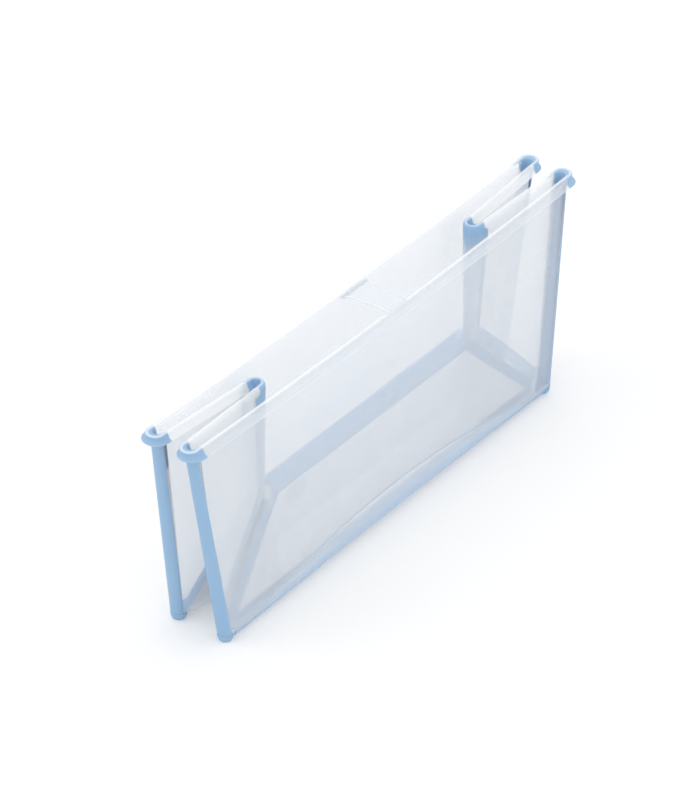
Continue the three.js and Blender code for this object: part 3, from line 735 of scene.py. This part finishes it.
def lathed(name, profile, place, count=48, hollow=False):
    """A turned part from (radius, height) pairs, put in place by a function of x, y and height."""
    points, faces = [], []
    for r, h in profile:
        for i in range(count):
            a = 2 * math.pi * i / count
            points.append(place(r * math.cos(a), r * math.sin(a), h))
    rows = len(profile)
    for k in range(rows if hollow else rows - 1):  # a hollow part's profile closes on itself
        low, high = k * count, (k + 1) % rows * count
        for i in range(count):
            j = (i + 1) % count
            faces.append((low + i, low + j, high + j, high + i))
    return object_from(name, points, faces)


def foot(name, side_x, side_y):
    """A stud with a small hollow underneath, a flat rim on the ground and a round edge."""
    flat, spread, height = 4.8, 3.2, 6.9
    profile = [(0, 0.35), (2.0, 0.35), (2.3, 0), (4.2, 0)]
    profile += [(flat + spread * math.sin(a), height * (1 - math.cos(a)))
                for a in np.linspace(0.06, math.pi / 2, 12)]
    profile += [(flat + spread, 7.5), (7.7, FOOT_TOP), (0, FOOT_TOP)]
    return lathed(name, profile,
                  lambda x, y, z: (side_x * (CORNER_X[0] + x), side_y * (CORNER_Y[0] + y), z))


thin_hinge = soft_skin("thin_hinge", srgb(190, 213, 237), srgb(180, 206, 234), 0.42)

BEND_LOW = 1.5 * math.pi


def beside(y, z=HINGE_Z):
    """A place over mid-length for the ends of a soft bend."""
    return 0, y * MM, z * MM


# The front channel is two quarters, because the front edge stays level between wall and floor.
finish_piece(bottom_strip("front_wall_edge", -1, BEND_LOW), thin_hinge,
             ["front_bottom_strip"],
             blend=("front_wall", "front_edge", beside(-BOTTOM_Y - BOTTOM_R),
                    beside(-BOTTOM_Y - BOTTOM_R / 2, HINGE_Z - BOTTOM_R / 2)))
finish_piece(bottom_strip("front_floor_edge", -1, last=BEND_LOW), thin_hinge,
             ["front_bottom_strip"],
             blend=("front_edge", "floor_front", beside(-BOTTOM_Y), beside(-BOTTOM_Y + BOTTOM_R)))
finish_piece(bottom_strip("back_floor_edge", 1), thin_hinge, ["back_bottom_strip"],
             blend=("back_wall", "floor_back",
                    beside(BOTTOM_Y + BOTTOM_R), beside(BOTTOM_Y - BOTTOM_R)))

for corner, face, side_x, side_y in CORNERS:
    finish_piece(foot(f"{corner}_stud", side_x, side_y), blue_hinge,
                 [f"{corner}_foot"], f"{face}_edge")

# Floor halves: each is a frosted plate in a frame of soft rubber bands, moulded as one. Folded,
# they stand upright between the walls.
RIDGE_LIMB, DIAGONAL_BAND, BOTTOM_BAND = 11.0, 12.0, 7.0
GUSSET_DROP, GUSSET_TIP, GUSSET_T, GUSSET_WEDGE = 0.3, 15.0, 1.0, 1.0
SLOPE = (CORNER_X[0] - RIDGE_X) / FLOOR_HALF
STRETCH = math.hypot(1, SLOPE)
FLOOR_TOP = FLOOR_HALF - RIDGE_LIMB - SEAM
UP = np.array([0, -math.sin(FLOOR_TILT), math.cos(FLOOR_TILT)])
DOWN = np.array([0, -math.cos(FLOOR_TILT), -math.sin(FLOOR_TILT)])


def on_floor(x, v, depth):
    """A place on a floor half: along the bath, up from its long edge, below its inner face."""
    origin = np.array([0, BOTTOM_Y, HINGE_Z]) + DOWN * (BOTTOM_R - PANEL_T + depth)
    return origin + np.array([x, 0, 0]) + UP * v


def floor_edge(v, inset):
    """How far the floor reaches along the bath beside its diagonal, less an inset."""
    return CORNER_X[0] - SLOPE * v - inset * STRETCH


DRAIN_X, DRAIN_V, DRAIN_R, SEAT_W = -92.0, 52.0, 13.0, 4.0

floor_band = soft_skin("floor_band", srgb(184, 210, 237), srgb(172, 202, 233), 0.46)

for face, side_y in FACES:
    inset = GUSSET_DROP + SEAM
    inner = inset + DIAGONAL_BAND
    tip = GUSSET_TIP / STRETCH
    half = [(floor_edge(tip, inset), SEAM), (floor_edge(tip, inset), tip),
            (floor_edge(FLOOR_TOP, inset), FLOOR_TOP), (floor_edge(FLOOR_TOP, inner), FLOOR_TOP),
            (floor_edge(BOTTOM_BAND, inner), BOTTOM_BAND)]
    outline = half + [(-x, v) for x, v in reversed(half)]
    bands = plate(f"{face}_floor_bands", outline, 0, PANEL_T, on_floor, side_y=side_y)
    finish_piece(bands, floor_band, [f"floor_{face}_frame"], f"floor_{face}")
    low, high, edge = BOTTOM_BAND + SEAM, FLOOR_TOP, inner + SEAM
    outline = [(-floor_edge(low, edge), low), (floor_edge(low, edge), low),
               (floor_edge(high, edge), high), (-floor_edge(high, edge), high)]
    hole = circle(DRAIN_X, DRAIN_V, DRAIN_R + SEAT_W) if side_y > 0 else None
    middle = plate(f"{face}_floor_plate", outline, 0, PANEL_T, on_floor, hole, side_y=side_y)
    finish_piece(middle, milky_brightened_panel, [f"floor_{face}_panel"], f"floor_{face}")


# Ridge strip: soft rubber along the middle of the floor, moulded on to both floor halves and
# bent over while they stand folded.
def ridge_strip():
    rings = []
    reach = RIDGE_X - SEAM
    loop = []
    for wall in (0, STRIP_T):
        r = RIDGE_R + wall
        line = [(r * math.cos(a), r * math.sin(a))
                for a in np.linspace(FLOOR_TILT, math.pi - FLOOR_TILT, 25)]
        for d in (RIDGE_LIMB / 2, RIDGE_LIMB):
            limb = (r * math.cos(FLOOR_TILT) + d * math.sin(FLOOR_TILT),
                    r * math.sin(FLOOR_TILT) - d * math.cos(FLOOR_TILT))
            line = [limb] + line + [(-limb[0], limb[1])]
        loop += line[::-1] if wall else line
    for x in np.linspace(-reach, reach, 49):
        rings.append([(x, y, RIDGE_Z + z) for y, z in loop])
    return loft("floor_ridge", rings)


finish_piece(ridge_strip(), floor_band, ["ridge_strip"],
             blend=("floor_front", "floor_back",
                    beside(-RIDGE_R, RIDGE_Z), beside(RIDGE_R, RIDGE_Z)))

# Gussets: thin soft triangles between the floor's diagonals and the ends, folded back behind
# the floor halves.
MIDDLE_GAP, END_GAP = 8.5, 2.5


def gusset(name, side_x, side_y):
    """A gusset, laid out beside the floor's diagonal and then folded back about it."""
    start = np.array([CORNER_X[0], 0.0])
    end = np.array([RIDGE_X, FLOOR_HALF])
    diagonal = (end - start) / np.linalg.norm(end - start)
    sideways = np.array([diagonal[1], -diagonal[0]])
    first = start + diagonal * GUSSET_TIP + sideways * SEAM
    last = end + sideways * SEAM
    outer = CORNER_X[0] + CORNER_R[0] - MEMBRANE_T - END_GAP
    middle = FLOOR_HALF - MIDDLE_GAP
    outline = [tuple(first), (outer, first[1]), (outer, middle),
               (last[0] + SLOPE * MIDDLE_GAP, middle)]
    axis = np.array([diagonal[0], 0, 0]) + UP * diagonal[1]
    origin = np.array([CORNER_X[0], BOTTOM_Y, HINGE_Z]) + DOWN * (BOTTOM_R + GUSSET_DROP)
    angle = -math.pi + math.radians(GUSSET_WEDGE)
    k = np.array([[0, -axis[2], axis[1]], [axis[2], 0, -axis[0]], [-axis[1], axis[0], 0]])
    spin = np.eye(3) + math.sin(angle) * k + (1 - math.cos(angle)) * k @ k

    def folded(x, v, depth):
        p = origin + spin @ (on_floor(x, v, depth) - origin)
        return side_x * p[0], p[1], p[2]

    return plate(name, outline, PANEL_T - GUSSET_T, PANEL_T, folded, bevel=0.2, side_y=side_y)


for corner, face, side_x, side_y in CORNERS:
    finish_piece(gusset(f"{corner}_gusset", side_x, side_y), pale_membrane,
                 [f"{corner}_floor_gusset"], f"{corner}_gusset")


# Drain: a soft seat ring moulded into the back floor half, and a rubber plug that is pushed into
# it from the inside and has a finger ridge across its top.
def at_drain(x, v, depth):
    return on_floor(DRAIN_X + x, DRAIN_V + v, depth)


def finger_ridge(name):
    """A rounded ridge with soft ends and a narrower waist, sunk a little into the plug."""
    reach, rise, half, waisting, sunk = 8, 4, 1.5, 0.35, 0.2
    rings = []
    for x in np.linspace(-reach, reach, 25):
        height = rise * (1 - abs(x / (reach + 0.05)) ** 5) ** 0.4 + sunk
        waist = half - waisting * bulge(x / reach)
        rings.append([at_drain(x, waist * math.cos(a), sunk - height * max(math.sin(a), 0) ** 0.7)
                      for a in np.linspace(0, math.pi, 15)])
    return loft(name, rings)


# Both profiles are (radius, depth below the floor's inner face).
seat = lathed("drain_ring", [(DRAIN_R, 1.0), (13.2, 0.8), (16.5, 0.8), (16.7, 1.0), (16.7, 1.8),
                             (16.5, 2.0), (13.2, 2.0), (DRAIN_R, 1.8)], at_drain, 72, hollow=True)
finish_piece(seat, blue_hinge, ["drain_seat"], "floor_back")

stopper = lathed("stopper", [(0, -0.35), (8.2, -0.35), (9.0, -0.8), (14.2, -0.8), (15.1, -0.55),
                             (15.5, -0.1), (15.2, 0.4), (14.8, 0.5), (12.7, 0.5), (12.6, 1.7),
                             (12.2, 2.0), (0, 2.0)], at_drain, 72)
stopper = joined("bath_plug", [stopper, finger_ridge("ridge")])
finish_piece(stopper, blue_hinge, ["drain_plug"], "drain_plug")

# Closure tab: a frosted tongue, hinged on a white pin between the back rim's lugs. It lies over
# the gap and its end curls down over the front rim, which holds the folded bath shut.
TAB_TOP = KNUCKLE_Z + KNUCKLE_R
TAB_HALF = 19.5
TAB_END = -(wall_y(RIM_LOW) + 4.6)
CURL_START, CURL_RUN, CURL_DROP = 27.3, 4.3, 2.4
# The tongue's half width at places across the bath, from the back to the front
TAB_WIDTHS = curve_through([(KNUCKLE_Y - KNUCKLE_R - 0.4, TAB_HALF), (16.5, 18.2), (10, 16.6),
                            (0, 15.2), (-12, 14.7), (-22, 14.9), (-26.5, 15.3), (-29, 15.0),
                            (-30.6, 13.6), (TAB_END, 10.5)], 48)
# The tongue's section on one side, as (from its edge, above its top); its edges are raised.
TAB_EDGE = [(0.25, -1.65), (0.0, -1.2), (0.0, -0.5), (0.2, 0.0), (0.7, 0.25), (1.3, 0.2),
            (2.4, 0.0)]
# How much painted highlight each point of that section gets, strongest on top of the raised edge.
TAB_HIGHLIGHT = [0.1, 0.2, 0.3, 0.7, 1.0, 0.7, 0.0]
TAB_HIGHLIGHT_STRENGTH, UNDER_INSET = 0.8, 0.5
NECK_REACH, NECK_SUNK = 1.2, 0.1
LUG_PLAY, PIN_BEVEL, PIN_FACE = 0.3, 0.3, 0.6


def tongue(name):
    """The tab's flat tongue. Its top curls down beyond the front rim."""
    rings = []
    for y, half in TAB_WIDTHS:
        top = TAB_TOP - CURL_DROP * max((-y - CURL_START) / CURL_RUN, 0) ** 2
        left = [(TAB_X - half + inset, top + rise) for inset, rise in TAB_EDGE]
        right = [(TAB_X + half - inset, top + rise) for inset, rise in reversed(TAB_EDGE)]
        under = [(TAB_X + half - UNDER_INSET, top - TAB_T),
                 (TAB_X - half + UNDER_INSET, top - TAB_T)]
        rings.append([(x, y, z) for x, z in left + right + under])
    # The tongue's raised edges carry a painted highlight, through its crest share.
    tab_highlight = TAB_HIGHLIGHT + TAB_HIGHLIGHT[::-1] + [0.0, 0.0]
    return loft(name, rings, crest=[share * TAB_HIGHLIGHT_STRENGTH for share in tab_highlight])


def knuckle(low, high):
    """A stretch of the tab's round hinge, with the short neck that joins it to the tongue."""
    neck = KNUCKLE_Y - KNUCKLE_R - NECK_REACH
    outline = [(neck, TAB_TOP - TAB_T + NECK_SUNK)]
    outline += [(KNUCKLE_Y + KNUCKLE_R * math.cos(a), KNUCKLE_Z + KNUCKLE_R * math.sin(a))
                for a in np.linspace(0.95 * math.pi, 2.5 * math.pi, 40)]
    outline.append((neck, TAB_TOP - NECK_SUNK))
    return plate("knuckle", outline, low, high, across,
                 circle(KNUCKLE_Y, KNUCKLE_Z, BORE_R, 32), bevel=0.2)


lug_gap = LUG_W / 2 + LUG_PLAY
tab = joined("rim_tab", [tongue("tongue"),
                         knuckle(TAB_X - TAB_HALF, TAB_X - LUG_REACH - lug_gap),
                         knuckle(TAB_X - LUG_REACH + lug_gap, TAB_X + LUG_REACH - lug_gap),
                         knuckle(TAB_X + LUG_REACH + lug_gap, TAB_X + TAB_HALF)])
finish_piece(tab, frosted_panel, ["closure_tab"], "closure_tab")

white_pin = moulded("white_pin", srgb(238, 241, 244), srgb(230, 234, 239))
pin_half = LUG_REACH + LUG_W / 2
pin = lathed("hinge_pin", [(0, -pin_half), (PIN_FACE, -pin_half), (PIN_R, PIN_BEVEL - pin_half),
                           (PIN_R, pin_half - PIN_BEVEL), (PIN_FACE, pin_half), (0, pin_half)],
             lambda y, z, x: (TAB_X + x, KNUCKLE_Y + y, KNUCKLE_Z + z), 32)
finish_piece(pin, white_pin, ["tab_pin"], "back_wall")


# Border beads: a fine raised line, moulded where a stiff panel ends and the soft rubber begins.
# One tree of geometry nodes draws the bead along a border's path.
def bead_tree(material):
    """The path's edges as a curve, evened out and swept with a round section, with end caps."""
    tree = bpy.data.node_groups.new("border_bead", "GeometryNodeTree")
    for label, kind in (("Path", "Geometry"), ("Bead Radius", "Float"), ("Bead Sides", "Int"),
                        ("Step Length", "Float")):
        tree.interface.new_socket(label, in_out="INPUT", socket_type=f"NodeSocket{kind}")
    tree.interface.new_socket("Bead", in_out="OUTPUT", socket_type="NodeSocketGeometry")
    source, sink = tree.nodes.new("NodeGroupInput"), tree.nodes.new("NodeGroupOutput")

    def step(kind, inputs, settings=()):
        node = tree.nodes.new(kind)
        for key, value in dict(settings).items():
            setattr(node, key, value)
        for key, value in inputs.items():
            if isinstance(value, bpy.types.NodeSocket):
                tree.links.new(value, node.inputs[key])
            else:
                node.inputs[key].default_value = value
        return node.outputs[0]

    path = step("GeometryNodeMeshToCurve", {"Mesh": source.outputs["Path"]})
    even = step("GeometryNodeResampleCurve",
                {"Curve": path, "Length": source.outputs["Step Length"]}, {"mode": "LENGTH"})
    round_section = step("GeometryNodeCurvePrimitiveCircle",
                         {"Resolution": source.outputs["Bead Sides"],
                          "Radius": source.outputs["Bead Radius"]})
    swept = step("GeometryNodeCurveToMesh", {"Curve": even, "Profile Curve": round_section,
                                             "Fill Caps": True})
    real = step("GeometryNodeRealizeInstances", {"Geometry": swept})
    smooth = step("GeometryNodeSetShadeSmooth", {"Geometry": real})
    made = step("GeometryNodeSetMaterial", {"Geometry": smooth, "Material": material})
    tree.links.new(made, sink.inputs["Bead"])
    return tree


BEAD_SIDES, BEAD_STEP, BEAD_WELD = 10, 2.5, 1e-7
WALL_BEAD, THIN_BEAD = 0.55, 0.5
# How far the beads' centres stand off each surface, and how far they stop short of its ends
WALL_BEAD_OUT, FLOOR_BEAD_IN, END_BEAD_OUT = 0.3, 0.1, 0.05
WALL_BEAD_GAP, END_BEAD_GAP = 1.5, 0.02


def bead(name, tree, path, radius, closed=False):
    """A finished bead's mesh along a path in millimetres."""
    count = len(path)
    edges = [(i, (i + 1) % count) for i in range(count if closed else count - 1)]
    line = bpy.data.meshes.new(f"{name}_path")
    line.from_pydata([tuple(float(c) * MM for c in p) for p in path], edges, [])
    guide = placed(f"{name}_path", line)
    modifier = guide.modifiers.new("bead", "NODES")
    modifier.node_group = tree
    sizes = {"Bead Radius": radius * MM, "Bead Sides": BEAD_SIDES, "Step Length": BEAD_STEP * MM}
    for socket in tree.interface.items_tree:
        if socket.name in sizes:
            modifier[socket.identifier] = sizes[socket.name]
    evaluated = guide.evaluated_get(bpy.context.evaluated_depsgraph_get())
    mesh = bpy.data.meshes.new_from_object(evaluated)
    bpy.data.objects.remove(guide, do_unlink=True)
    b = bmesh.new()
    b.from_mesh(mesh)
    bmesh.ops.remove_doubles(b, verts=b.verts, dist=BEAD_WELD)
    bmesh.ops.recalc_face_normals(b, faces=b.faces)
    b.to_mesh(mesh)
    b.free()
    return placed(name, mesh)


border_bead = soft_skin("border_bead", srgb(206, 219, 234), srgb(196, 212, 230), 0.62)
beads = bead_tree(border_bead)

for face, side_y in FACES:
    path = []
    for share in np.linspace(-1, 1, 121):
        z = band_top(share)
        path.append((share * (along_corner(CORNER_X, z) - WALL_BEAD_GAP),
                     side_y * (wall_y(z) + WALL_BEAD_OUT), z))
    finish_piece(bead(f"{face}_wall_bead", beads, path, WALL_BEAD), border_bead,
                 [], f"{face}_wall")
    inset = GUSSET_DROP + SEAM + DIAGONAL_BAND + SEAM
    low, high = floor_edge(BOTTOM_BAND, inset), floor_edge(FLOOR_TOP, inset)
    loop = [(-low, BOTTOM_BAND), (low, BOTTOM_BAND), (high, FLOOR_TOP), (-high, FLOOR_TOP)]
    path = [on_floor(x, v, FLOOR_BEAD_IN) * (1, side_y, 1) for x, v in loop]
    finish_piece(bead(f"{face}_floor_bead", beads, path, THIN_BEAD, closed=True), border_bead,
                 [], f"floor_{face}")
    for side, side_x in SIDES:
        path = []
        for share in np.linspace(END_BEAD_GAP, 1 - END_BEAD_GAP, 61):
            z = end_border(share)
            x, y, z = end_point(share * flat_end(z), z, END_BEAD_OUT)
            path.append((side_x * x, side_y * y, z))
        finish_piece(bead(f"{face}_{side}_end_bead", beads, path, THIN_BEAD), border_bead,
                     [], f"{face}_{side}_end")


# Studio: a white floor that keeps the soft shadow, broad light from the upper left and behind,
# and the camera at the photograph's angle.
AZIMUTH, ELEVATION, DISTANCE, AIM = -52.55, 35.21, 4.799, Vector((-0.0258, 0.0, 0.1345))
SENSOR = 36
LENS = 4995 / 800 * SENSOR  # the focal length in the photo's pixels, over its height in pixels
FLOOR_REACH, FLOOR_GREY, FLOOR_GLOW = 6, 0.86, 0.14
SKY_STRENGTH = 1.02
# Each light's name, place, width and power
LIGHTS = (("key", (-1.6, 1.4, 2.2), 1.5, 7), ("fill", (1.5, -2.2, 1.6), 2.4, 3))

camera_data = bpy.data.cameras.new("camera")
camera = placed("camera", camera_data)
camera_data.sensor_fit = "VERTICAL"
camera_data.sensor_height = SENSOR
camera_data.lens = LENS
a, e = math.radians(AZIMUTH), math.radians(ELEVATION)
back = Vector((math.sin(a) * math.cos(e), -math.cos(a) * math.cos(e), math.sin(e)))
camera.location = AIM + back * DISTANCE
camera.rotation_euler = back.to_track_quat("Z", "Y").to_euler()
bpy.context.scene.camera = camera

floor_mesh = bpy.data.meshes.new("floor")
floor_mesh.from_pydata([(x * FLOOR_REACH, y * FLOOR_REACH, 0)
                        for x, y in ((-1, -1), (1, -1), (1, 1), (-1, 1))], [], [(0, 1, 2, 3)])
floor = placed("floor", floor_mesh)
material, shader, place = new_material("studio_floor", Roughness=0.9, Specular_IOR_Level=0.1)
rays = Wire.node(material.node_tree, "ShaderNodeLightPath")
seen = Wire(rays.tree, rays.socket.node.outputs["Is Camera Ray"])
for ray in ("Is Glossy Ray", "Is Transmission Ray"):
    seen = seen.maths("MAXIMUM", seen, Wire(rays.tree, rays.socket.node.outputs[ray]))
shader.inputs["Base Color"].default_value = (FLOOR_GREY, FLOOR_GREY, FLOOR_GREY, 1)
shader.inputs["Emission Color"].default_value = (1, 1, 1, 1)
feed(shader, Emission_Strength=seen * FLOOR_GLOW)
floor_mesh.materials.append(material)

world = bpy.data.worlds.new("studio")
bpy.context.scene.world = world
world.use_nodes = True
sky = world.node_tree.nodes["Background"]
sky.inputs["Color"].default_value = (1, 1, 1, 1)
sky.inputs["Strength"].default_value = SKY_STRENGTH

for name, spot, size, power in LIGHTS:
    lamp = bpy.data.lights.new(name, "AREA")
    lamp.shape, lamp.size, lamp.energy = "DISK", size, power
    light = placed(name, lamp)
    light.location = spot
    light.rotation_euler = (Vector(spot) - AIM).to_track_quat("Z", "Y").to_euler()

bpy.context.scene.view_settings.view_transform = "Standard"
